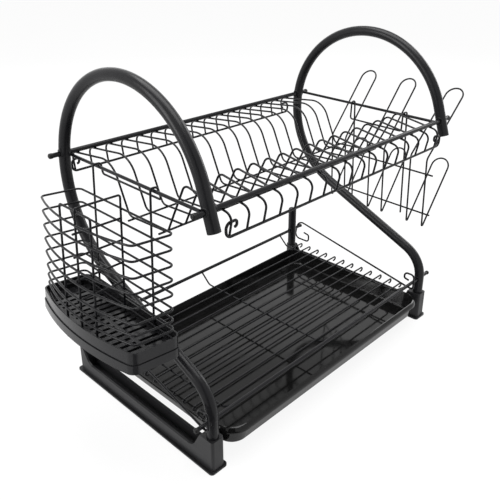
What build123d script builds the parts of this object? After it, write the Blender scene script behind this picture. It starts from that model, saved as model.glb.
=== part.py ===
from build123d import *
import os
from math import cos, radians, sin, tan

os.makedirs("parts", exist_ok=True)

# Two-tier dish drying rack, in millimetres. +X runs along the rods to the right, +Y to the rear,
# +Z up. X = 0 is midway between the two S-shaped tubes and Z = 0 is the table.

# Middle of the whole rack, with its basket and cup holder, from the middle of the tubes
CENTRE_X = -2.0

# S-shaped side tubes
TUBE_X = 200.0
TUBE_R = 6.5
TUBE_WALL = 1.2
ARCH_Y = 0.7
ARCH_Z = 272.7
ARCH_R = 117.7
LEAN = 17.4
TAIL = 37.6
SLOPE = 24.8
KNEE_R = 42.5
FRONT_LEG_Y = -112.9
PLUG_DEPTH = 9.0
PLUG_HEAD = 0.8

# Rear posts
POST_Y = 122.0
POST_R = 6.3
POST_TOP = 96.6
POST_CAP_RISE = 3.0

# Rods and the parts on their ends
ROD_HOLE_GAP = 0.15
UPPER_ROD_R = 2.75
UPPER_ROD_Z = 290.35
UPPER_ROD_REACH = 217.0
UPPER_CAP_R = 3.1
UPPER_CAP_OVER = 1.6
UPPER_CAP_TIP = 2.6
LOWER_ROD_R = 2.3
LOWER_ROD_Z = 60.8
LOWER_ROD_REACH = 222.3
LOWER_CAP_R = 2.8
LOWER_CAP_OVER = 1.8
LOWER_CAP_TIP = 1.5

# Upper rack wires
WIRE_R = 1.15
WELD = 0.15
END_BAR_R = 1.8
LEFT_BAR_REAR_X = -191.5
LEFT_BAR_FRONT_X = -208.9
LEFT_BAR_FRONT_RISE = 1.9
RIGHT_BAR_REAR_X = 208.9
RIGHT_BAR_FRONT_X = 187.5
DIVIDER_COUNT = 17
DIVIDER_FIRST_X = -183.7
DIVIDER_PITCH = 22.35
DIVIDER_BEND = 8.0
DIVIDER_REAR_BEND = 28.0
DIVIDER_REAR_BEND_Y = 50.3
DIVIDER_REAR_RISE = 6.15
DIVIDER_FLOOR_REAR = (25.4, 236.9)
DIVIDER_FLOOR_FRONT = (-37.5, 238.8)
DIVIDER_PEAK_Y = -66.5
DIVIDER_FRONT_RISE = 9.6
DIVIDER_REACH = 13.0
LONG_WIRE_R = 1.4
LONG_WIRE_REAR = (126.1, 263.0)
LONG_WIRE_FRONT = (-124.7, 262.3)
LONG_WIRE_LEFT_X = -187.5
LONG_WIRE_RIGHT_X = 186.0
SCROLL_RISE = 14.0
SCROLL_BACK = 15.0
REAR_LEFT_SCROLL_BACK = 11.0
SCROLL_CURL = 6.0
FLOOR_WIRE_YS = (20.0, -31.0)
FLOOR_WIRE_REACH = 190.0

# Lower rack wires
LOWER_WIRE_COUNT = 12
LOWER_WIRE_Z = 48.0
LOWER_WIRE_REAR_Y = 92.9
LOWER_WIRE_PITCH = 16.68
LOWER_WIRE_REACH = 189.0
LOWER_LOOP_R = 2.7
CROSS_WIRE_XS = (-167.0, -2.0, 169.0)
CROSS_REAR_Y = 106.0
CROSS_FRONT_Y = -95.0
CROSS_BEND = 9.0
SIDE_BAR_R = 1.3
SIDE_OUT_X = 219.0
SIDE_IN_X = 172.0
SIDE_LEFT_IN_X = -181.0
SIDE_LEFT_OUT_X = -212.0
SIDE_REAR_SCROLL = ((-10.5, -9.0), (-20.5, -11.0), (-20.5, -22.8), (8.6, -22.8), (2.8, 9.87))
SIDE_FRONT_SCROLL = ((-7.0, -3.85), (-7.0, 17.5), (7.5, 17.5), (7.5, 9.0), (0.5, 7.5))
SIDE_BENDS = (3.2, 5.0, 8.0, 16.0, 3.0, 3.0, 5.0, 5.0, 3.0)

# Feet
FOOT_HALF = 8.3
FOOT_WALL = 2.6
FLANGE_HALF = 11.65
FLANGE_T = 2.0
FOOT_FRONT_Y = -121.0
FLANGE_FRONT_OVER = 1.6
FLANGE_REAR_OVER = -0.6
FRONT_BLOCK_TOP = 39.3
FRONT_BLOCK_DEPTH = 19.5
REAR_SLEEVE_WALL = 1.5
REAR_SLEEVE_TOP = 34.5
REAR_SLEEVE_FRONT_Y = 117.0
REAR_SLEEVE_SLOPE = 11.0
OUTER_WALL_TOP = 16.5
OUTER_WALL_STEP = 12.0
INNER_WALL_TOP = 21.0
INNER_WALL_STEP = 6.0
WALL_BENDS = (14.0, 12.0)
TROUGH_FLOOR = 6.0
SOCKET_GAP = 0.15
TUBE_SOCKET_Z = 12.0
POST_SOCKET_Z = 10.0
LEDGE_X = 172.0
LEDGE_GAP = 0.3
LEDGE_T = 2.7
LEDGE_LENGTH = 8.0
LEDGE_YS = (-97.5, 88.0)

# Drip tray
TRAY_HALF = 188.0
TRAY_FRONT_Y = -127.5
TRAY_REAR_Y = 107.0
TRAY_BOTTOM = 15.5
TRAY_TOP = 40.0
TRAY_WALL = 1.8
TRAY_FLOOR = 2.2
TRAY_CORNER_R = 26.0
TRAY_LIP = 2.0
TRAY_LIP_T = 6.5
TRAY_SHOULDER_R = 5.5
TRAY_DRAFT = 5.0
TRAY_FOOT_R = 2.5

# Cutlery basket, in its own frame on the left end bar: out of the rack, along and down
BASKET_TURN = 3.4
BASKET_LEAN = 3.6
BASKET_LEG_OUT = 4.9
BASKET_HOOK_REAR = 58.2
BASKET_HOOK_FRONT = -46.5
BASKET_HOOK_DEPTH = 9.0
BASKET_RUN_PAST = 4.0
HOOK_GAP = 0.25
HOOK_RISE = END_BAR_R + WIRE_R + HOOK_GAP
HOOK_BEND = 3.0
HOOK_BACK = END_BAR_R + WIRE_R + 2 * HOOK_GAP
HOOK_SPREAD = 2.2
RING_DEPTHS = (29.2, 44.1, 60.0, 75.0, 89.8, 105.4, 116.7, 126.2, 138.0)
RING_IN = BASKET_LEG_OUT + 2 * WIRE_R - WELD
RING_CORNER = 51.5
RING_BOW = 65.6
RING_FRONT = -85.2
RING_REAR = 86.1
RING_BEND = 6.0
OUTER_FRAME_TOP = 17.3
OUTER_FRAME_AT = (22.0, -34.0)
MID_FRAME_TOP = 14.0
MID_FRAME_AT = (0.0, -9.0)
MID_WIRE_DEPTHS = (39.3, 62.8, 87.2, 108.8)
MID_WIRE_OVER = 2.5

# Cutlery cup and saucer
CUP_RIM = 132.6
CUP_HEIGHT = 12.5
CUP_WALL = 1.5
CUP_FLOOR_T = 1.9
CUP_IN = 1.9
CUP_CORNER = RING_CORNER + 4.8
CUP_BOW = RING_BOW + 3.0
CUP_FRONT = RING_FRONT - 3.1
CUP_REAR = RING_REAR + 3.2
CUP_CORNER_R = 9.0
SLOT_WIDTH = 4.0
SLOT_LENGTH = 22.0
SLOT_PITCH = 9.6
SLOT_ROWS = 2
SLOT_COUNT = 15
SAUCER_HEIGHT = 9.2
SAUCER_OVER = 1.0
SEAT_GAP = 0.3

# Cup holder, in its own frame on the right end bar: out of the rack, along and down
HOLDER_TURN = 4.0
HOLDER_LEAN = 3.0
HOLDER_MIDDLE_Y = -28.0
HOLDER_LEG_OUT = 4.3
HOLDER_LEG_END = 142.5
HOLDER_HOOK_REAR = 44.5
HOLDER_HOOK_FRONT = -42.0
HOLDER_HOOK_DEPTH = 20.5
LOOPS_AT = (72.0, 3.1, -64.9)
LOOP_HALF = 12.4
LOOP_BEND_DEPTH = 54.5
LOOP_FOOT_DEPTH = 155.7
LOOP_FOOT_BEND = 1.8
UPPER_PRONGS = ((76.0, 28.3), (75.4, 26.5), (85.0, 21.3))
LOWER_PRONGS = ((61.9, -73.2), (61.9, -73.2), (64.5, -73.2))
RAIL_DEPTHS = (74.2, 131.5)
RAIL_FRONT = -89.0
RAIL_REAR = 86.0


def save(name, *solids):
    """Write one node, a single solid or a group of separate ones, centred on the whole rack."""
    bodies = [Pos(-CENTRE_X, 0, 0) * solid for shape in solids for solid in shape.solids()]
    export_step(bodies[0] if len(bodies) == 1 else Compound(children=bodies), f"parts/{name}.step")


def bent_path(points, bends):
    """Straight runs between the points, joined by tangent arcs of the given radii."""
    corners = [Vector(*point) for point in points]
    if not isinstance(bends, (list, tuple)):
        bends = [bends] * (len(corners) - 2)
    edges = []
    start = corners[0]
    for before, corner, after, bend in zip(corners, corners[1:], corners[2:], bends):
        into = (corner - before).normalized()
        out = (after - corner).normalized()
        half_turn = radians(into.get_angle(out)) / 2
        first = corner - into * bend * tan(half_turn)
        last = corner + out * bend * tan(half_turn)
        middle = corner + (out - into).normalized() * bend * (1 / cos(half_turn) - 1)
        if (first - start).length > 0.001:
            edges.append(Line(start, first))
        edges.append(ThreePointArc(first, middle, last))
        start = last
    if (corners[-1] - start).length > 0.001:
        edges.append(Line(start, corners[-1]))
    return Wire(edges)


def swept(path, radius, bore=0.0):
    """A round wire or tube along a path."""
    section_plane = Plane(origin=path @ 0, z_dir=path % 0)
    section = section_plane * Circle(radius)
    if bore:
        section -= section_plane * Circle(bore)
    return sweep(section, path=path)


def bar(start, end, radius):
    """A straight round bar between two points."""
    along = Vector(*end) - Vector(*start)
    return Solid.make_cylinder(radius, along.length, Plane(origin=start, z_dir=along))


def across(radius, x, y, z, half_length=20.0):
    """A cutter along X, centred on a point."""
    return bar((x - half_length, y, z), (x + half_length, y, z), radius)


# --- S-shaped tubes -----------------------------------------------------------------------------

lean_point = (ARCH_Y - ARCH_R * cos(radians(LEAN)), ARCH_Z + ARCH_R * sin(radians(LEAN)))
free_end = (lean_point[0] - TAIL * sin(radians(LEAN)), lean_point[1] - TAIL * cos(radians(LEAN)))
arch_end = (ARCH_Y + ARCH_R * sin(radians(SLOPE)), ARCH_Z - ARCH_R * cos(radians(SLOPE)))
knee_y = FRONT_LEG_Y + KNEE_R
run = (arch_end[0] - knee_y + KNEE_R * sin(radians(SLOPE))) / cos(radians(SLOPE))
slope_end = (arch_end[0] - run * cos(radians(SLOPE)), arch_end[1] - run * sin(radians(SLOPE)))
knee_z = slope_end[1] - KNEE_R * cos(radians(SLOPE))


def tube_path(x):
    """Leaning tail, arch over the top, slope down to the front and the front leg."""
    knee_turn = radians(135 + SLOPE / 2)
    knee_middle = (knee_y + KNEE_R * cos(knee_turn), knee_z + KNEE_R * sin(knee_turn))
    foot = (FRONT_LEG_Y, TUBE_SOCKET_Z + SOCKET_GAP)
    return Wire(
        [
            Line((x, *free_end), (x, *lean_point)),
            ThreePointArc((x, *lean_point), (x, ARCH_Y, ARCH_Z + ARCH_R), (x, *arch_end)),
            Line((x, *arch_end), (x, *slope_end)),
            ThreePointArc((x, *slope_end), (x, *knee_middle), (x, FRONT_LEG_Y, knee_z)),
            Line((x, FRONT_LEG_Y, knee_z), (x, *foot)),
        ]
    )


rod_rise = UPPER_ROD_Z - ARCH_Z
ROD_REAR_Y = ARCH_Y + (ARCH_R**2 - rod_rise**2) ** 0.5
ROD_FRONT_Y = free_end[0] + (UPPER_ROD_Z - free_end[1]) * tan(radians(LEAN))


def s_tube(x):
    tube = swept(tube_path(x), TUBE_R, TUBE_R - TUBE_WALL)
    for y in (ROD_FRONT_Y, ROD_REAR_Y):
        tube -= across(UPPER_ROD_R + ROD_HOLE_GAP, x, y, UPPER_ROD_Z)
    return tube - across(LOWER_ROD_R + ROD_HOLE_GAP, x, FRONT_LEG_Y, LOWER_ROD_Z)


def tube_plug(x):
    """Flat plug that closes the free end of an S-tube."""
    inward = Vector(0, lean_point[0] - free_end[0], lean_point[1] - free_end[1]).normalized()
    end = Vector(x, *free_end)
    stem = bar(end, end + inward * PLUG_DEPTH, TUBE_R - TUBE_WALL)
    return stem + bar(end - inward * PLUG_HEAD, end, TUBE_R)


save("s_tube_left", s_tube(-TUBE_X))
save("s_tube_right", s_tube(TUBE_X))
save("s_tube_plugs", tube_plug(-TUBE_X), tube_plug(TUBE_X))

# --- Rear posts ---------------------------------------------------------------------------------


def rear_post(x):
    low = (x, POST_Y, POST_SOCKET_Z + SOCKET_GAP)
    high = (x, POST_Y, POST_TOP)
    post = bar(low, high, POST_R) - bar(low, high, POST_R - TUBE_WALL)
    return post - across(LOWER_ROD_R + ROD_HOLE_GAP, x, POST_Y, LOWER_ROD_Z)


def post_cap(x):
    """Domed cap with a stem in the post."""
    dome = bar((x, POST_Y, POST_TOP), (x, POST_Y, POST_TOP + POST_CAP_RISE), POST_R)
    dome = fillet(dome.edges().group_by(Axis.Z)[-1], POST_CAP_RISE * 0.8)
    stem = bar((x, POST_Y, POST_TOP - PLUG_DEPTH), (x, POST_Y, POST_TOP), POST_R - TUBE_WALL)
    return dome + stem


save("rear_post_left", rear_post(-TUBE_X))
save("rear_post_right", rear_post(TUBE_X))
save("rear_post_caps", post_cap(-TUBE_X), post_cap(TUBE_X))

# --- Rods with their end caps -------------------------------------------------------------------


def rod(y, z, reach, radius):
    return bar((-reach, y, z), (reach, y, z), radius)


def rod_cap(side, y, z, over, tip, radius, rod_radius, rod_reach):
    """Sleeve with a closed round end over the end of a rod."""
    start = side * (rod_reach - over)
    end = side * (rod_reach + tip)
    sleeve = bar((start, y, z), (end, y, z), radius)
    rim = sleeve.edges().sort_by(Axis.X)[-1 if side > 0 else 0]
    sleeve = fillet(rim, radius * 0.55)
    return sleeve - bar((start - side, y, z), (side * rod_reach, y, z), rod_radius)


upper_caps = [
    rod_cap(
        side, y, UPPER_ROD_Z, UPPER_CAP_OVER, UPPER_CAP_TIP, UPPER_CAP_R, UPPER_ROD_R,
        UPPER_ROD_REACH,
    )
    for side in (-1, 1)
    for y in (ROD_FRONT_Y, ROD_REAR_Y)
]
lower_caps = [
    rod_cap(
        side, y, LOWER_ROD_Z, LOWER_CAP_OVER, LOWER_CAP_TIP, LOWER_CAP_R, LOWER_ROD_R,
        LOWER_ROD_REACH,
    )
    for side in (-1, 1)
    for y in (FRONT_LEG_Y, POST_Y)
]
save("upper_front_rod", rod(ROD_FRONT_Y, UPPER_ROD_Z, UPPER_ROD_REACH, UPPER_ROD_R))
save("upper_rear_rod", rod(ROD_REAR_Y, UPPER_ROD_Z, UPPER_ROD_REACH, UPPER_ROD_R))
save("lower_front_rod", rod(FRONT_LEG_Y, LOWER_ROD_Z, LOWER_ROD_REACH, LOWER_ROD_R))
save("lower_rear_rod", rod(POST_Y, LOWER_ROD_Z, LOWER_ROD_REACH, LOWER_ROD_R))
save("upper_rod_caps", *upper_caps)
save("lower_rod_caps", *lower_caps)

# --- Upper rack wires ---------------------------------------------------------------------------

# Each bar runs beside a tube at one end and inside it at the other
butt = UPPER_ROD_R / 2
left_bar = (
    (LEFT_BAR_REAR_X, ROD_REAR_Y + END_BAR_R, UPPER_ROD_Z - UPPER_ROD_R - END_BAR_R + WELD),
    (LEFT_BAR_FRONT_X, ROD_FRONT_Y + butt, UPPER_ROD_Z + LEFT_BAR_FRONT_RISE),
)
right_bar = (
    (RIGHT_BAR_REAR_X, ROD_REAR_Y - butt, UPPER_ROD_Z),
    (RIGHT_BAR_FRONT_X, ROD_FRONT_Y + butt, UPPER_ROD_Z),
)
save("upper_end_bar_left", bar(*left_bar, END_BAR_R))
save("upper_end_bar_right", bar(*right_bar, END_BAR_R))

under_rod_z = UPPER_ROD_Z - UPPER_ROD_R - WIRE_R + WELD
rear_slope = DIVIDER_REAR_RISE / (ROD_REAR_Y - DIVIDER_REAR_BEND_Y)
front_slope = DIVIDER_FRONT_RISE / (DIVIDER_PEAK_Y - ROD_FRONT_Y)


def divider(x):
    """Plate divider: hung under both rods, with a slope, a flat floor and a front hump."""
    rear_corner = (ROD_REAR_Y + DIVIDER_REACH, under_rod_z - DIVIDER_REACH * rear_slope)
    front_corner = (ROD_FRONT_Y - DIVIDER_REACH + 1, under_rod_z - DIVIDER_REACH * front_slope)
    profile = [
        LONG_WIRE_REAR,
        rear_corner,
        (DIVIDER_REAR_BEND_Y, under_rod_z + DIVIDER_REAR_RISE),
        DIVIDER_FLOOR_REAR,
        DIVIDER_FLOOR_FRONT,
        (DIVIDER_PEAK_Y, under_rod_z + DIVIDER_FRONT_RISE),
        front_corner,
        LONG_WIRE_FRONT,
    ]
    bends = [DIVIDER_BEND, DIVIDER_REAR_BEND] + 4 * [DIVIDER_BEND]
    return swept(bent_path([(x, *point) for point in profile], bends), WIRE_R)


divider_xs = [DIVIDER_FIRST_X + DIVIDER_PITCH * i for i in range(DIVIDER_COUNT)]
save("plate_dividers", *[divider(x) for x in divider_xs])


def scroll_wire(y, z, left_back):
    """Long wire whose two ends turn up, come back and curl down and out."""

    def scroll(end_x, side, back):
        top = z + SCROLL_RISE
        inner_x = end_x - side * (back - 1.5)
        curl_x = end_x - side * (back - SCROLL_CURL * 0.7)
        return [
            (curl_x, y, top - SCROLL_CURL),
            (inner_x, y, top - SCROLL_CURL),
            (inner_x, y, top),
            (end_x, y, top),
            (end_x, y, z),
        ]

    left = scroll(LONG_WIRE_LEFT_X, -1, left_back)
    right = scroll(LONG_WIRE_RIGHT_X, 1, SCROLL_BACK)
    points = left + right[::-1]
    return swept(bent_path(points, [2.4, 2.4, 6.0, 6.0, 6.0, 6.0, 2.4, 2.4]), LONG_WIRE_R)


save("upper_wire_rear", scroll_wire(*LONG_WIRE_REAR, REAR_LEFT_SCROLL_BACK))
save("upper_wire_front", scroll_wire(*LONG_WIRE_FRONT, SCROLL_BACK))

floor_slope = (DIVIDER_FLOOR_FRONT[1] - DIVIDER_FLOOR_REAR[1]) / (
    DIVIDER_FLOOR_FRONT[0] - DIVIDER_FLOOR_REAR[0]
)


def floor_wire(y):
    z = DIVIDER_FLOOR_REAR[1] + (y - DIVIDER_FLOOR_REAR[0]) * floor_slope - 2 * WIRE_R + WELD
    return bar((-FLOOR_WIRE_REACH, y, z), (FLOOR_WIRE_REACH, y, z), WIRE_R)


save("upper_floor_wires", *[floor_wire(y) for y in FLOOR_WIRE_YS])

# --- Lower rack wires ---------------------------------------------------------------------------


def lower_long_wire(y):
    """Straight wire with both ends looped down and back."""
    end_z = LOWER_WIRE_Z - 2 * LOWER_LOOP_R
    reach = LOWER_WIRE_REACH + LOWER_LOOP_R
    back = LOWER_WIRE_REACH - 2.0
    points = [
        (-back, y, end_z),
        (-reach, y, end_z),
        (-reach, y, LOWER_WIRE_Z),
        (reach, y, LOWER_WIRE_Z),
        (reach, y, end_z),
        (back, y, end_z),
    ]
    return swept(bent_path(points, LOWER_LOOP_R - 0.02), WIRE_R)


lower_ys = [LOWER_WIRE_REAR_Y - LOWER_WIRE_PITCH * i for i in range(LOWER_WIRE_COUNT)]
save("lower_long_wires", *[lower_long_wire(y) for y in lower_ys])

CROSS_Z = LOWER_WIRE_Z - 2 * WIRE_R + WELD


def cross_wire(x):
    """Wire under the long wires that rises to both rods."""
    profile = [
        (POST_Y, LOWER_ROD_Z),
        (CROSS_REAR_Y, CROSS_Z),
        (CROSS_FRONT_Y, CROSS_Z),
        (FRONT_LEG_Y, LOWER_ROD_Z),
    ]
    return swept(bent_path([(x, *point) for point in profile], CROSS_BEND), WIRE_R)


save("lower_cross_wires", *[cross_wire(x) for x in CROSS_WIRE_XS])

below_rod_z = LOWER_ROD_Z - LOWER_ROD_R - SIDE_BAR_R + WELD


def side_bar(rear_x, front_x):
    """Bar curled over the rear rod and under the front rod, with an open scroll at each end."""
    points = [(rear_x, POST_Y + y, LOWER_ROD_Z + z) for y, z in SIDE_REAR_SCROLL]
    points.append((front_x, FRONT_LEG_Y + 1.0, below_rod_z))
    points += [(front_x, FRONT_LEG_Y + y, LOWER_ROD_Z + z) for y, z in SIDE_FRONT_SCROLL]
    return swept(bent_path(points, SIDE_BENDS), SIDE_BAR_R)


save("lower_side_bar_right", side_bar(SIDE_OUT_X, SIDE_IN_X))
save("lower_side_bar_left", side_bar(SIDE_LEFT_IN_X, SIDE_LEFT_OUT_X))

# --- Feet ---------------------------------------------------------------------------------------


def side_plate(profile, low_x, high_x):
    """Upright plate cut to a profile in Y and Z, with its two inner corners rounded."""
    outline = make_face(Polyline(*profile, close=True))
    for (y, z), bend in zip(profile[3:5], WALL_BENDS):
        rounded = [v for v in outline.vertices() if abs(v.X - y) + abs(v.Y - z) < 0.01]
        outline = fillet(rounded, bend)
    return extrude(Plane.YZ.offset(low_x) * outline, high_x - low_x)


sleeve_r = POST_R + SOCKET_GAP + REAR_SLEEVE_WALL
foot_rear_y = POST_Y + sleeve_r


def wall_profile(wall_top, step):
    """Outline of a side wall between the front block and the rear sleeve."""
    block_rear_y = FOOT_FRONT_Y + FRONT_BLOCK_DEPTH
    return [
        (FOOT_FRONT_Y, 0),
        (FOOT_FRONT_Y, FRONT_BLOCK_TOP),
        (block_rear_y, FRONT_BLOCK_TOP),
        (block_rear_y + step, wall_top),
        (REAR_SLEEVE_FRONT_Y - REAR_SLEEVE_SLOPE, wall_top),
        (REAR_SLEEVE_FRONT_Y, REAR_SLEEVE_TOP),
        (POST_Y, REAR_SLEEVE_TOP),
        (POST_Y, 0),
    ]


def foot():
    """Right foot: a channel between a front block and a rear sleeve, on a wide flange."""
    low, high = TUBE_X - FOOT_HALF, TUBE_X + FOOT_HALF
    outer = wall_profile(OUTER_WALL_TOP, OUTER_WALL_STEP)
    inner = wall_profile(INNER_WALL_TOP, INNER_WALL_STEP)
    shape = side_plate(outer, high - FOOT_WALL, high)
    shape += side_plate(inner, low, low + FOOT_WALL)
    floor_depth = POST_Y - FOOT_FRONT_Y
    floor_y = (POST_Y + FOOT_FRONT_Y) / 2
    shape += Pos(TUBE_X, floor_y, TROUGH_FLOOR / 2) * Box(2 * FOOT_HALF, floor_depth, TROUGH_FLOOR)
    block_y = FOOT_FRONT_Y + FRONT_BLOCK_DEPTH / 2
    block = Box(2 * FOOT_HALF, FRONT_BLOCK_DEPTH, FRONT_BLOCK_TOP)
    shape += Pos(TUBE_X, block_y, FRONT_BLOCK_TOP / 2) * block
    web_depth = POST_Y - REAR_SLEEVE_FRONT_Y
    web = Box(2 * FOOT_HALF, web_depth, REAR_SLEEVE_TOP)
    shape += Pos(TUBE_X, REAR_SLEEVE_FRONT_Y + web_depth / 2, REAR_SLEEVE_TOP / 2) * web
    upright = shape.edges().filter_by(Axis.Z)
    shape = fillet([e for e in upright if abs(e.center().Y - FOOT_FRONT_Y) < 0.1], 3.0)
    upright = shape.edges().filter_by(Axis.Z)
    shape = fillet([e for e in upright if abs(e.center().Y - POST_Y) < 0.1], 3.0)
    shape += bar((TUBE_X, POST_Y, 0), (TUBE_X, POST_Y, REAR_SLEEVE_TOP), sleeve_r)
    flange_front_y = FOOT_FRONT_Y - FLANGE_FRONT_OVER
    flange_rear_y = foot_rear_y + FLANGE_REAR_OVER
    flange = RectangleRounded(2 * FLANGE_HALF, flange_rear_y - flange_front_y, 4.0)
    shape += Pos(TUBE_X, (flange_front_y + flange_rear_y) / 2, 0) * extrude(flange, FLANGE_T)
    ledge_width = low - LEDGE_X + 0.5
    ledge_z = TRAY_BOTTOM - LEDGE_GAP - LEDGE_T / 2
    for ledge_y in LEDGE_YS:
        ledge = Box(ledge_width, LEDGE_LENGTH, LEDGE_T)
        shape += Pos(LEDGE_X + ledge_width / 2, ledge_y, ledge_z) * ledge
    top = FRONT_BLOCK_TOP + 1
    shape -= bar((TUBE_X, FRONT_LEG_Y, TUBE_SOCKET_Z), (TUBE_X, FRONT_LEG_Y, top), TUBE_R + SOCKET_GAP)
    shape -= bar((TUBE_X, POST_Y, POST_SOCKET_Z), (TUBE_X, POST_Y, top), POST_R + SOCKET_GAP)
    return shape


right_foot = foot()
save("foot_right", right_foot)
save("foot_left", mirror(right_foot, Plane.YZ))

# --- Drip tray ----------------------------------------------------------------------------------

tray_middle = (TRAY_FRONT_Y + TRAY_REAR_Y) / 2
tray_depth = TRAY_REAR_Y - TRAY_FRONT_Y


def tray_outline(inset, z):
    """Rounded outline at a height, drawn in from the tray's widest one."""
    outline = RectangleRounded(
        2 * (TRAY_HALF - inset), tray_depth - 2 * inset, TRAY_CORNER_R - inset
    )
    return Pos(0, tray_middle, z) * outline


def drafted(inset, low, high):
    """Block that narrows towards its foot by the tray's draft."""
    block = loft([tray_outline(inset + TRAY_DRAFT, low), tray_outline(inset, high)], ruled=True)
    return fillet(block.edges().group_by(Axis.Z)[0], TRAY_FOOT_R)


lip = extrude(tray_outline(0, TRAY_TOP - TRAY_LIP_T), TRAY_LIP_T)
lip = fillet(lip.edges().group_by(Axis.Z)[-1], TRAY_SHOULDER_R)
tray = lip + drafted(TRAY_LIP, TRAY_BOTTOM, TRAY_TOP - 1)
hollow = drafted(TRAY_LIP + TRAY_WALL, TRAY_BOTTOM + TRAY_FLOOR, TRAY_TOP)
save("drip_tray", tray - hollow)

# --- Frames that hang on the end bars -----------------------------------------------------------


def point_on(ends, y):
    """Point of a bar at a given Y."""
    rear, front = Vector(*ends[0]), Vector(*ends[1])
    return rear + (front - rear) * ((rear.Y - y) / (rear.Y - front.Y))


def hung_frame(ends, y, side, turn, lean):
    """Frame with x out of the rack and z up, hung on a bar at a given Y; y runs with the bar."""
    along = Vector(sin(turn), cos(turn), 0)
    out = Vector(cos(turn), -sin(turn), 0) * side
    fall = point_on(ends, y) - point_on(ends, y + 1)
    up = Vector(0, 0, cos(lean)) - out * sin(lean) + along * fall.Z
    return Plane(point_on(ends, y), x_dir=out * cos(lean) + Vector(0, 0, sin(lean)), z_dir=up)


def bar_out(ends, side, turn, along):
    """How far out of the frame the bar lies at a distance along it."""
    rear, front = ends
    return side * along * ((rear[0] - front[0]) / (rear[1] - front[1]) - tan(turn))


def hook_wire(ends, side, turn, leg_out, leg_end, hooks, depth, past):
    """One wire: two upright legs, each hooked over the bar, joined by a run behind it."""
    (rear, front) = hooks
    rear_bar = bar_out(ends, side, turn, rear)
    front_bar = bar_out(ends, side, turn, front)
    points = [
        (leg_out, side * rear, -leg_end),
        (leg_out, side * rear, HOOK_RISE),
        (rear_bar - HOOK_BACK, side * rear, HOOK_RISE),
        (rear_bar - HOOK_BACK - HOOK_SPREAD, side * rear, -depth),
        (front_bar - HOOK_BACK - HOOK_SPREAD, side * (front - past), -depth),
        (front_bar - HOOK_BACK, side * front, HOOK_RISE),
        (leg_out, side * front, HOOK_RISE),
        (leg_out, side * front, -leg_end),
    ]
    return swept(bent_path(points, HOOK_BEND), WIRE_R)


# --- Cutlery basket -----------------------------------------------------------------------------

basket_turn = radians(BASKET_TURN)
basket = hung_frame(left_bar, 0, -1, basket_turn, radians(BASKET_LEAN))


def d_outline(inner, corner, bow, front, rear, bend):
    """D-shaped face: straight beside the rack, bowed on the outer side."""
    middle = -(front + rear) / 2
    edges = [
        Line((inner, -rear), (corner, -rear)),
        ThreePointArc((corner, -rear), (bow, middle), (corner, -front)),
        Line((corner, -front), (inner, -front)),
        Line((inner, -front), (inner, -rear)),
    ]
    face = make_face(edges)
    return fillet(face.vertices(), bend)


ring_outline = d_outline(RING_IN, RING_CORNER, RING_BOW, RING_FRONT, RING_REAR, RING_BEND)
bow_half = (RING_REAR - RING_FRONT) / 2
bow_rise = RING_BOW - RING_CORNER
bow_r = (bow_half**2 + bow_rise**2) / (2 * bow_rise)


def bow_at(along):
    """How far out the bowed side of a ring is at a distance along the basket."""
    off_middle = along - (RING_FRONT + RING_REAR) / 2
    return RING_BOW - bow_r + (bow_r**2 - off_middle**2) ** 0.5


def ring(depth):
    path = Pos(0, 0, -depth) * ring_outline.faces()[0].outer_wire()
    return basket * swept(path, WIRE_R)


save("basket_rings", *[ring(depth) for depth in RING_DEPTHS])

CUP_SEAM = CUP_RIM + CUP_HEIGHT
CUP_FLOOR = CUP_SEAM - SEAT_GAP - CUP_FLOOR_T
WIRE_END = CUP_FLOOR - SEAT_GAP
hooks = (BASKET_HOOK_REAR, BASKET_HOOK_FRONT)
save(
    "basket_hook_wire",
    basket
    * hook_wire(
        left_bar, -1, basket_turn, BASKET_LEG_OUT, WIRE_END, hooks, BASKET_HOOK_DEPTH,
        BASKET_RUN_PAST,
    ),
)


def frame_wire(ends_at, outs, top):
    """Wire with two upright legs down to the cup floor and a straight top."""
    (first_at, second_at), (first_out, second_out) = ends_at, outs
    points = [
        (first_out, -first_at, -WIRE_END),
        (first_out, -first_at, -top),
        (second_out, -second_at, -top),
        (second_out, -second_at, -WIRE_END),
    ]
    return basket * swept(bent_path(points, 3.0), WIRE_R)


inset = 2 * WIRE_R - WELD
outer_outs = [bow_at(along) - inset for along in OUTER_FRAME_AT]
save("basket_outer_frame", frame_wire(OUTER_FRAME_AT, outer_outs, OUTER_FRAME_TOP))

mid_outs = (RING_IN + inset, bow_at(MID_FRAME_AT[1]) - inset)
save("basket_divider_frame", frame_wire(MID_FRAME_AT, mid_outs, MID_FRAME_TOP))

mid_start = Vector(mid_outs[0], -MID_FRAME_AT[0])
mid_end = Vector(mid_outs[1], -MID_FRAME_AT[1])
mid_along = (mid_end - mid_start).normalized()
mid_beside = Vector(mid_along.Y, -mid_along.X) * inset


def mid_wire(depth):
    """Wire welded beside the two legs of the divider frame."""
    start = mid_start - mid_along * MID_WIRE_OVER + mid_beside
    end = mid_end + mid_along * MID_WIRE_OVER + mid_beside
    return basket * bar((start.X, start.Y, -depth), (end.X, end.Y, -depth), WIRE_R)


mid_wires = [mid_wire(depth) for depth in MID_WIRE_DEPTHS]
save("basket_divider_wires", *mid_wires)

# --- Cutlery cup and saucer ---------------------------------------------------------------------


def cup_layer(grow, top, bottom):
    """Solid D-shaped layer between two depths, its outline grown by a distance."""
    outline = d_outline(
        CUP_IN - grow,
        CUP_CORNER + grow,
        CUP_BOW + grow,
        CUP_FRONT - grow,
        CUP_REAR + grow,
        CUP_CORNER_R + grow,
    )
    return Pos(0, 0, -bottom) * extrude(outline, bottom - top)


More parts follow.
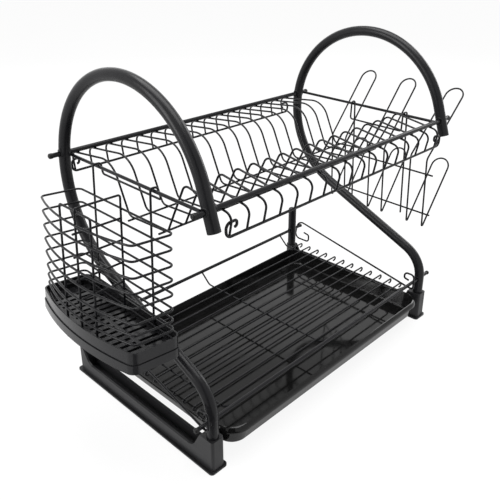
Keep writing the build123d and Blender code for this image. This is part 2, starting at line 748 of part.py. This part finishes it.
cup = cup_layer(0, CUP_RIM, CUP_SEAM - SEAT_GAP) - cup_layer(-CUP_WALL, CUP_RIM - 1, CUP_FLOOR)
first_slot = (CUP_FRONT + CUP_REAR) / 2 - SLOT_PITCH * (SLOT_COUNT - 1) / 2
slot = Box(SLOT_LENGTH, SLOT_WIDTH, 10.0)
for row in range(SLOT_ROWS):
    for i in range(SLOT_COUNT):
        out = CUP_IN + CUP_WALL + 15.0 + row * (SLOT_LENGTH + 4.0)
        cup -= Pos(out, -(first_slot + i * SLOT_PITCH), -CUP_FLOOR) * slot
save("cutlery_cup", basket * cup)

SAUCER_BOTTOM = CUP_SEAM + SAUCER_HEIGHT
saucer = cup_layer(SAUCER_OVER, CUP_SEAM, SAUCER_BOTTOM)
saucer -= cup_layer(SAUCER_OVER - 2 * CUP_WALL, CUP_SEAM - 1, SAUCER_BOTTOM - CUP_WALL)
save("cutlery_saucer", basket * saucer)

# --- Cup holder ---------------------------------------------------------------------------------

holder_turn = radians(HOLDER_TURN)
holder = hung_frame(right_bar, HOLDER_MIDDLE_Y, 1, holder_turn, radians(HOLDER_LEAN))
hooks = (HOLDER_HOOK_REAR, HOLDER_HOOK_FRONT)
save(
    "cup_holder_hook_wire",
    holder
    * hook_wire(
        right_bar, 1, holder_turn, HOLDER_LEG_OUT, HOLDER_LEG_END, hooks, HOLDER_HOOK_DEPTH, 0
    ),
)


def cup_loop(along, upper_prong, lower_prong):
    """Closed wire with an upper and a lower prong, both leaning out from an upright wall."""
    side = [
        upper_prong,
        (HOLDER_LEG_OUT, -LOOP_BEND_DEPTH),
        (HOLDER_LEG_OUT, -LOOP_FOOT_DEPTH),
        lower_prong,
    ]
    far = [(x, along + LOOP_HALF, z) for x, z in side]
    near = [(x, along - LOOP_HALF, z) for x, z in side[::-1]]
    start = Vector(*near[-1]) * 0.5 + Vector(*near[-2]) * 0.5
    turn = LOOP_HALF - 0.05
    bends = [turn, turn, 9.0, LOOP_FOOT_BEND, turn, turn, LOOP_FOOT_BEND, 9.0]
    points = [start, near[-1], *far, *near[:3], start]
    return holder * swept(bent_path(points, bends), WIRE_R)


loops = [cup_loop(*prongs) for prongs in zip(LOOPS_AT, UPPER_PRONGS, LOWER_PRONGS)]
save("cup_holder_loops", *loops)

rail_out = HOLDER_LEG_OUT - inset
rails = [
    holder * bar((rail_out, RAIL_FRONT, -depth), (rail_out, RAIL_REAR, -depth), WIRE_R)
    for depth in RAIL_DEPTHS
]
save("cup_holder_rails", *rails)
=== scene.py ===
"""Two-tier dish drying rack: finishes, formed details, studio and camera, in metres."""

import math

import bmesh
import bpy
from mathutils import Matrix, Vector


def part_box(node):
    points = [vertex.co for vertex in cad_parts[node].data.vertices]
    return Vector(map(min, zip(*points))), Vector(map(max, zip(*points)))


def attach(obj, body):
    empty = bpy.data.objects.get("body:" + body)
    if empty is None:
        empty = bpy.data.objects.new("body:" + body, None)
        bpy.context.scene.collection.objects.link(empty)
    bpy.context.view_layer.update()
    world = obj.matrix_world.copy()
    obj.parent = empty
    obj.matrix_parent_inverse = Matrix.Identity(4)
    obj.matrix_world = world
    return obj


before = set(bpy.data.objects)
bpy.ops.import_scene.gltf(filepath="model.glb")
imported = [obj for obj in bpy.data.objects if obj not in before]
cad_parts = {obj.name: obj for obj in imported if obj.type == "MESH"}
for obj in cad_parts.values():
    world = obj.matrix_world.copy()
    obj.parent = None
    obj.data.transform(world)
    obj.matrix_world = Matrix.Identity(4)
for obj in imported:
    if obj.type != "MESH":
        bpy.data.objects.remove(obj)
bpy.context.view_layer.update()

MM = 0.001

# Camera, aimed at a point inside the rack
AIM = Vector((0.0146, 0.0697, 0.1703))
DISTANCE = 0.8394
AZIMUTH = math.radians(44.47)
ELEVATION = math.radians(23.21)
ROLL = math.radians(-0.74)
SENSOR = 36.0
LENS = 44.91
SHIFT = (0.0334, -0.081)

CLIP = (0.01, 30.0)

# Studio: the share of plain white that the eye sees on the floor leaves room for the shadow
FLOOR_HALF = 6.0
FLOOR_PAPER = ((0.86, 0.86, 0.86), (0.88, 0.88, 0.88))
FLOOR_WHITE = 0.9
WORLD_LEVEL = 0.75
BACKGROUND_LEVEL = 1.0
# Lamps: name, place, size and power in watts
SOFTBOXES = (
    ("softbox_top", (0.1, 0.1, 1.9), (1.8, 1.2), 40.0),
    ("softbox_left", (-1.9, 0.7, 0.9), (0.8, 1.4), 24.0),
    ("softbox_right", (1.9, -0.2, 0.9), (0.8, 1.4), 16.0),
    ("softbox_back", (1.2, 1.7, 0.9), (2.4, 1.2), 4.5),
)
# Rows of the black flag, a dark sheet that paints shade into the reflections towards the camera:
# distance from the origin towards the camera, left edge, right edge, height
FLAG_ROWS = ((0.27, -0.2, 0.02, 0.003), (0.6, -0.16, 0.06, 0.003), (1.1, -0.25, 0.25, 1.4))
# Tone of the flag: painted shade, a near-black that only reflections see
FLAG_REFLECTED_SHADE = ((0.003, 0.003, 0.003), (0.006, 0.006, 0.006))

# Rims of the rod holes: the rolled edge, its gap around the rod and its depth in the tube's wall
RIM_WIRE = 0.9 * MM
RIM_WIDEN = 1.2
RIM_GAP = 0.5 * MM
RIM_SINK = 0.4 * MM
RIM_SEGMENTS = 40
RIM_EDGE_SEGMENTS = 10

# Weld beads: half sizes across and along the divider wire, and how far they sit off wire and rod
BEAD_OUT = 0.5 * MM
BEAD_LONG = 1.9 * MM
BEAD_OFF = 0.1 * MM
BEAD_UNEVEN = 0.15
DIVIDERS = 17
DIVIDER_WIRE_R = 1.15 * MM

# Reflectance of the finishes
PAINT_SPECULAR = 0.17
PLASTIC_SPECULAR = 0.22

# Nodes of each finish, by how their names start
FINISHES = {
    "tube_paint": ("s_tube_left", "s_tube_right", "rear_post_left", "rear_post_right"),
    "wire_paint": ("upper_", "lower_", "plate_", "basket_", "cup_holder_"),
    "foot_plastic": ("foot_",),
    "cap_plastic": ("s_tube_plugs", "rear_post_caps", "upper_rod_caps", "lower_rod_caps"),
    "tray_plastic": ("drip_tray",),
    "cup_plastic": ("cutlery_",),
}


# --- Materials ----------------------------------------------------------------------------------


class Nodes:
    """A material's node tree, with short calls that add and link its nodes."""

    def __init__(self, name):
        self.material = bpy.data.materials.new(name)
        self.material.use_nodes = True
        self.tree = self.material.node_tree
        self.shader = self.tree.nodes["Principled BSDF"]
        self.place = self.add("ShaderNodeTexCoord").outputs["Object"]

    def add(self, kind):
        return self.tree.nodes.new(kind)

    def link(self, source, target):
        self.tree.links.new(source, target)

    def noise(self, scale, detail=3.0, stretch=None):
        """Noise in the object's own metres, drawn out along an axis where stretch is given."""
        node = self.add("ShaderNodeTexNoise")
        node.inputs["Scale"].default_value = scale
        node.inputs["Detail"].default_value = detail
        if stretch:
            mapping = self.add("ShaderNodeMapping")
            mapping.inputs["Scale"].default_value = stretch
            self.link(self.place, mapping.inputs["Vector"])
            self.link(mapping.outputs["Vector"], node.inputs["Vector"])
        else:
            self.link(self.place, node.inputs["Vector"])
        return node.outputs["Fac"]

    def spread(self, value, low, high, start=0.3, end=0.7):
        """Map a noise to a range."""
        node = self.add("ShaderNodeMapRange")
        node.inputs["From Min"].default_value = start
        node.inputs["From Max"].default_value = end
        node.inputs["To Min"].default_value = low
        node.inputs["To Max"].default_value = high
        self.link(value, node.inputs["Value"])
        return node.outputs["Result"]

    def tint(self, value, dark, light):
        """Colour that runs from dark to light with a noise."""
        ramp = self.add("ShaderNodeValToRGB")
        ramp.color_ramp.elements[0].position = 0.35
        ramp.color_ramp.elements[0].color = (*dark, 1)
        ramp.color_ramp.elements[1].position = 0.68
        ramp.color_ramp.elements[1].color = (*light, 1)
        self.link(value, ramp.inputs["Fac"])
        self.link(ramp.outputs["Color"], self.shader.inputs["Base Color"])

    def bumps(self, *layers):
        """Stack bump layers of (height, depth in metres)."""
        normal = None
        for height, depth in layers:
            bump = self.add("ShaderNodeBump")
            bump.inputs["Strength"].default_value = 1.0
            bump.inputs["Distance"].default_value = depth
            self.link(height, bump.inputs["Height"])
            if normal:
                self.link(normal, bump.inputs["Normal"])
            normal = bump.outputs["Normal"]
        self.link(normal, self.shader.inputs["Normal"])


def powder_coat(name, dark, light, roughness, orange_peel):
    """Sprayed and baked black paint: orange peel, fine grit and slightly uneven gloss."""
    nodes = Nodes(name)
    nodes.tint(nodes.noise(28.0), dark, light)
    uneven = nodes.spread(nodes.noise(60.0, 2.0), roughness - 0.05, roughness + 0.06)
    nodes.link(uneven, nodes.shader.inputs["Roughness"])
    nodes.bumps((nodes.noise(650.0, 1.5), orange_peel), (nodes.noise(3200.0, 1.0), orange_peel / 4))
    nodes.shader.inputs["Specular IOR Level"].default_value = PAINT_SPECULAR
    return nodes.material


def moulded(name, dark, light, roughness, grain, scuffs):
    """Moulded plastic: fine grain, drawn-out flow marks and light scuffs in the gloss."""
    nodes = Nodes(name)
    flow = nodes.noise(18.0, 3.0, stretch=(1.0, 0.25, 1.0))
    nodes.tint(flow, dark, light)
    scuff = nodes.noise(90.0, 6.0, stretch=(1.0, 0.12, 1.0))
    uneven = nodes.spread(scuff, roughness, roughness + scuffs, 0.45, 0.72)
    nodes.link(uneven, nodes.shader.inputs["Roughness"])
    nodes.bumps((nodes.noise(12.0, 2.0), grain * 6), (nodes.noise(2400.0, 2.0), grain))
    nodes.shader.inputs["Specular IOR Level"].default_value = PLASTIC_SPECULAR
    return nodes.material


MATERIALS = {
    "tube_paint": powder_coat(
        "tube_paint", (0.007, 0.007, 0.008), (0.010, 0.010, 0.011), 0.28, 0.0008 * MM
    ),
    "wire_paint": powder_coat(
        "wire_paint", (0.005, 0.005, 0.006), (0.008, 0.008, 0.009), 0.20, 0.0007 * MM
    ),
    "foot_plastic": moulded(
        "foot_plastic", (0.012, 0.012, 0.013), (0.016, 0.016, 0.017), 0.36, 0.003 * MM, 0.10
    ),
    "cap_plastic": moulded(
        "cap_plastic", (0.006, 0.006, 0.006), (0.009, 0.009, 0.009), 0.45, 0.006 * MM, 0.08
    ),
    "tray_plastic": moulded(
        "tray_plastic", (0.004, 0.004, 0.004), (0.006, 0.006, 0.006), 0.06, 0.001 * MM, 0.06
    ),
    "cup_plastic": moulded(
        "cup_plastic", (0.010, 0.010, 0.011), (0.014, 0.014, 0.015), 0.16, 0.002 * MM, 0.08
    ),
}


def finish_of(node):
    """The finish whose longest name start fits a node."""
    fits = [(len(s), f) for f, starts in FINISHES.items() for s in starts if node.startswith(s)]
    return max(fits)[1]


for node_name, node_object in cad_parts.items():
    material = MATERIALS[finish_of(node_name)]
    node_object.data.materials.clear()
    node_object.data.materials.append(material)


# --- Formed details -----------------------------------------------------------------------------


def piece_from(name, build, body, finish):
    """A mesh piece made by build(bmesh), which rides on a body and has a finish."""
    mesh = bpy.data.meshes.new(name)
    work = bmesh.new()
    build(work)
    for face in work.faces:
        face.smooth = True
    work.to_mesh(mesh)
    work.free()
    mesh.materials.append(MATERIALS[finish])
    piece = bpy.data.objects.new(name, mesh)
    bpy.context.scene.collection.objects.link(piece)
    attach(piece, body)


def ring_of(work, rings):
    """Skin a closed loop of rings of points, each as long as the next."""
    made = [[work.verts.new(point) for point in ring] for ring in rings]
    count = len(made[0])
    for before, after in zip(made, made[1:] + made[:1]):
        for i in range(count):
            j = (i + 1) % count
            work.faces.new((before[i], before[j], after[j], after[i]))


def add_rims(work, low_x, high_x, rod):
    """The two rims around a rod, on both sides of the tube that spans low_x to high_x."""
    rod_low, rod_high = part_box(rod)
    centre = (rod_low + rod_high) / 2
    rod_r = (rod_high.z - rod_low.z) / 2
    tube_r = (high_x - low_x) / 2
    tube_x = (low_x + high_x) / 2
    reach = rod_r + RIM_GAP + RIM_WIRE
    for side in (-1, 1):
        rings = []
        for i in range(RIM_SEGMENTS):
            turn = 2 * math.pi * i / RIM_SEGMENTS
            out = Vector((0, math.cos(turn), math.sin(turn)))
            # the rim follows the tube's round wall, which falls away beside the rod
            fall = tube_r - math.sqrt(tube_r**2 - (reach * math.cos(turn)) ** 2)
            x = tube_x + side * (tube_r - fall - RIM_SINK)
            heart = Vector((x, centre.y, centre.z)) + out * reach
            around = []
            for k in range(RIM_EDGE_SEGMENTS):
                roll = 2 * math.pi * k / RIM_EDGE_SEGMENTS
                around.append(
                    heart
                    + out * RIM_WIRE * math.cos(roll)
                    + Vector((side, 0, 0)) * RIM_WIRE * RIM_WIDEN * math.sin(roll)
                )
            rings.append(around)
        ring_of(work, rings)


def hole_rims(work):
    """Swaged rims where the rods pass through the tubes and posts."""
    for tube in ("s_tube_left", "s_tube_right"):
        low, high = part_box(tube)
        for rod in ("upper_front_rod", "upper_rear_rod"):
            add_rims(work, low.x, high.x, rod)
        add_rims(work, low.x, high.x, "lower_front_rod")
    for post in ("rear_post_left", "rear_post_right"):
        low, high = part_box(post)
        add_rims(work, low.x, high.x, "lower_rear_rod")


piece_from("rod_hole_rims", hole_rims, "rack", "tube_paint")


def weld_beads(work):
    """Small beads of weld where the plate dividers cross under the two upper rods."""
    low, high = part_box("plate_dividers")
    pitch = (high.x - low.x - 2 * DIVIDER_WIRE_R) / (DIVIDERS - 1)
    for rod in ("upper_front_rod", "upper_rear_rod"):
        rod_low, rod_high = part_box(rod)
        centre = (rod_low + rod_high) / 2
        for i in range(DIVIDERS):
            for side in (-1, 1):
                wire_x = low.x + DIVIDER_WIRE_R + pitch * i
                x = wire_x + side * (DIVIDER_WIRE_R + BEAD_OFF)
                spot = Vector((x, centre.y, rod_low.z - BEAD_OFF))
                grow = 1 + BEAD_UNEVEN * math.sin(i * 2.4 + side)
                size = (BEAD_OUT * grow, BEAD_LONG * grow, BEAD_OUT * grow)
                shape = Matrix.Translation(spot) @ Matrix.Diagonal((*size, 1))
                bmesh.ops.create_icosphere(work, subdivisions=2, radius=1.0, matrix=shape)


piece_from("divider_weld_beads", weld_beads, "rack", "wire_paint")


# --- Studio and camera --------------------------------------------------------------------------


def white_for_the_eye(tree, shader, output, level):
    """Mix in the white backdrop, as far as level says, for camera, glossy and transmission rays."""
    path = tree.nodes.new("ShaderNodeLightPath")
    share = path.outputs["Is Camera Ray"]
    for kind in ("Is Glossy Ray", "Is Transmission Ray"):
        either = tree.nodes.new("ShaderNodeMath")
        either.operation = "MAXIMUM"
        tree.links.new(share, either.inputs[0])
        tree.links.new(path.outputs[kind], either.inputs[1])
        share = either.outputs["Value"]
    levelled = tree.nodes.new("ShaderNodeMath")
    levelled.operation = "MULTIPLY"
    levelled.inputs[1].default_value = level
    tree.links.new(share, levelled.inputs[0])
    white = tree.nodes.new("ShaderNodeEmission")
    white.inputs["Strength"].default_value = BACKGROUND_LEVEL
    mix = tree.nodes.new("ShaderNodeMixShader")
    tree.links.new(levelled.outputs["Value"], mix.inputs["Fac"])
    tree.links.new(shader, mix.inputs[1])
    tree.links.new(white.outputs["Emission"], mix.inputs[2])
    tree.links.new(mix.outputs["Shader"], output)


world = bpy.data.worlds.new("studio")
bpy.context.scene.world = world
world.use_nodes = True
sky = world.node_tree.nodes["Background"]
sky.inputs["Color"].default_value = (1, 1, 1, 1)
sky.inputs["Strength"].default_value = WORLD_LEVEL
world_out = world.node_tree.nodes["World Output"].inputs["Surface"]
white_for_the_eye(world.node_tree, sky.outputs["Background"], world_out, 1.0)

floor_mesh = bpy.data.meshes.new("floor")
corner_signs = ((-1, -1), (1, -1), (1, 1), (-1, 1))
floor_corners = [(x * FLOOR_HALF, y * FLOOR_HALF, 0) for x, y in corner_signs]
floor_mesh.from_pydata(floor_corners, [], [(0, 1, 2, 3)])
floor = bpy.data.objects.new("floor", floor_mesh)
bpy.context.scene.collection.objects.link(floor)
floor_paint = Nodes("floor_paper")
floor_paint.tint(floor_paint.noise(6.0), *FLOOR_PAPER)
floor_paint.shader.inputs["Roughness"].default_value = 0.9
floor_out = floor_paint.tree.nodes["Material Output"].inputs["Surface"]
white_for_the_eye(floor_paint.tree, floor_paint.shader.outputs["BSDF"], floor_out, FLOOR_WHITE)
floor_mesh.materials.append(floor_paint.material)


def softbox(name, place, size, power):
    """Soft rectangular light that faces the rack."""
    lamp = bpy.data.lights.new(name, "AREA")
    lamp.shape = "RECTANGLE"
    lamp.size, lamp.size_y = size
    lamp.energy = power
    box = bpy.data.objects.new(name, lamp)
    box.location = place
    box.rotation_euler = (AIM - Vector(place)).to_track_quat("-Z", "Y").to_euler()
    bpy.context.scene.collection.objects.link(box)
    box.visible_camera = False


for row in SOFTBOXES:
    softbox(*row)


def black_flag():
    """Dark sheet towards the camera that paints shade into the reflections: only reflections see
    it, along the floor and then up.
    """
    towards = Vector((-math.sin(AZIMUTH), -math.cos(AZIMUTH), 0))
    across = Vector((math.cos(AZIMUTH), -math.sin(AZIMUTH), 0))
    points = []
    for away, left, right, height in FLAG_ROWS:
        for side in (left, right):
            points.append(towards * away + across * side + Vector((0, 0, height)))
    mesh = bpy.data.meshes.new("black_flag")
    faces = [(2 * i, 2 * i + 1, 2 * i + 3, 2 * i + 2) for i in range(len(FLAG_ROWS) - 1)]
    mesh.from_pydata(points, [], faces)
    paint = Nodes("flag_reflected_shade")
    # the flag's near-black is painted shade in the reflections
    paint.tint(paint.noise(40.0), *FLAG_REFLECTED_SHADE)
    paint.shader.inputs["Roughness"].default_value = 1.0
    mesh.materials.append(paint.material)
    flag = bpy.data.objects.new("black_flag", mesh)
    bpy.context.scene.collection.objects.link(flag)
    flag.visible_camera = False
    flag.visible_diffuse = False
    flag.visible_shadow = False


black_flag()

camera_data = bpy.data.cameras.new("camera")
camera_data.sensor_width = SENSOR
camera_data.lens = LENS
camera_data.shift_x, camera_data.shift_y = SHIFT
camera_data.clip_start, camera_data.clip_end = CLIP
camera = bpy.data.objects.new("camera", camera_data)
forward = Vector(
    (
        math.sin(AZIMUTH) * math.cos(ELEVATION),
        math.cos(AZIMUTH) * math.cos(ELEVATION),
        -math.sin(ELEVATION),
    )
)
level_right = Vector((math.cos(AZIMUTH), -math.sin(AZIMUTH), 0))
level_up = level_right.cross(forward)
right = level_right * math.cos(ROLL) + level_up * math.sin(ROLL)
up = level_up * math.cos(ROLL) - level_right * math.sin(ROLL)
turned = Matrix((right, up, -forward)).transposed()
camera.matrix_world = Matrix.Translation(AIM - forward * DISTANCE) @ turned.to_4x4()
bpy.context.scene.collection.objects.link(camera)
bpy.context.scene.camera = camera

bpy.context.scene.view_settings.view_transform = "Standard"
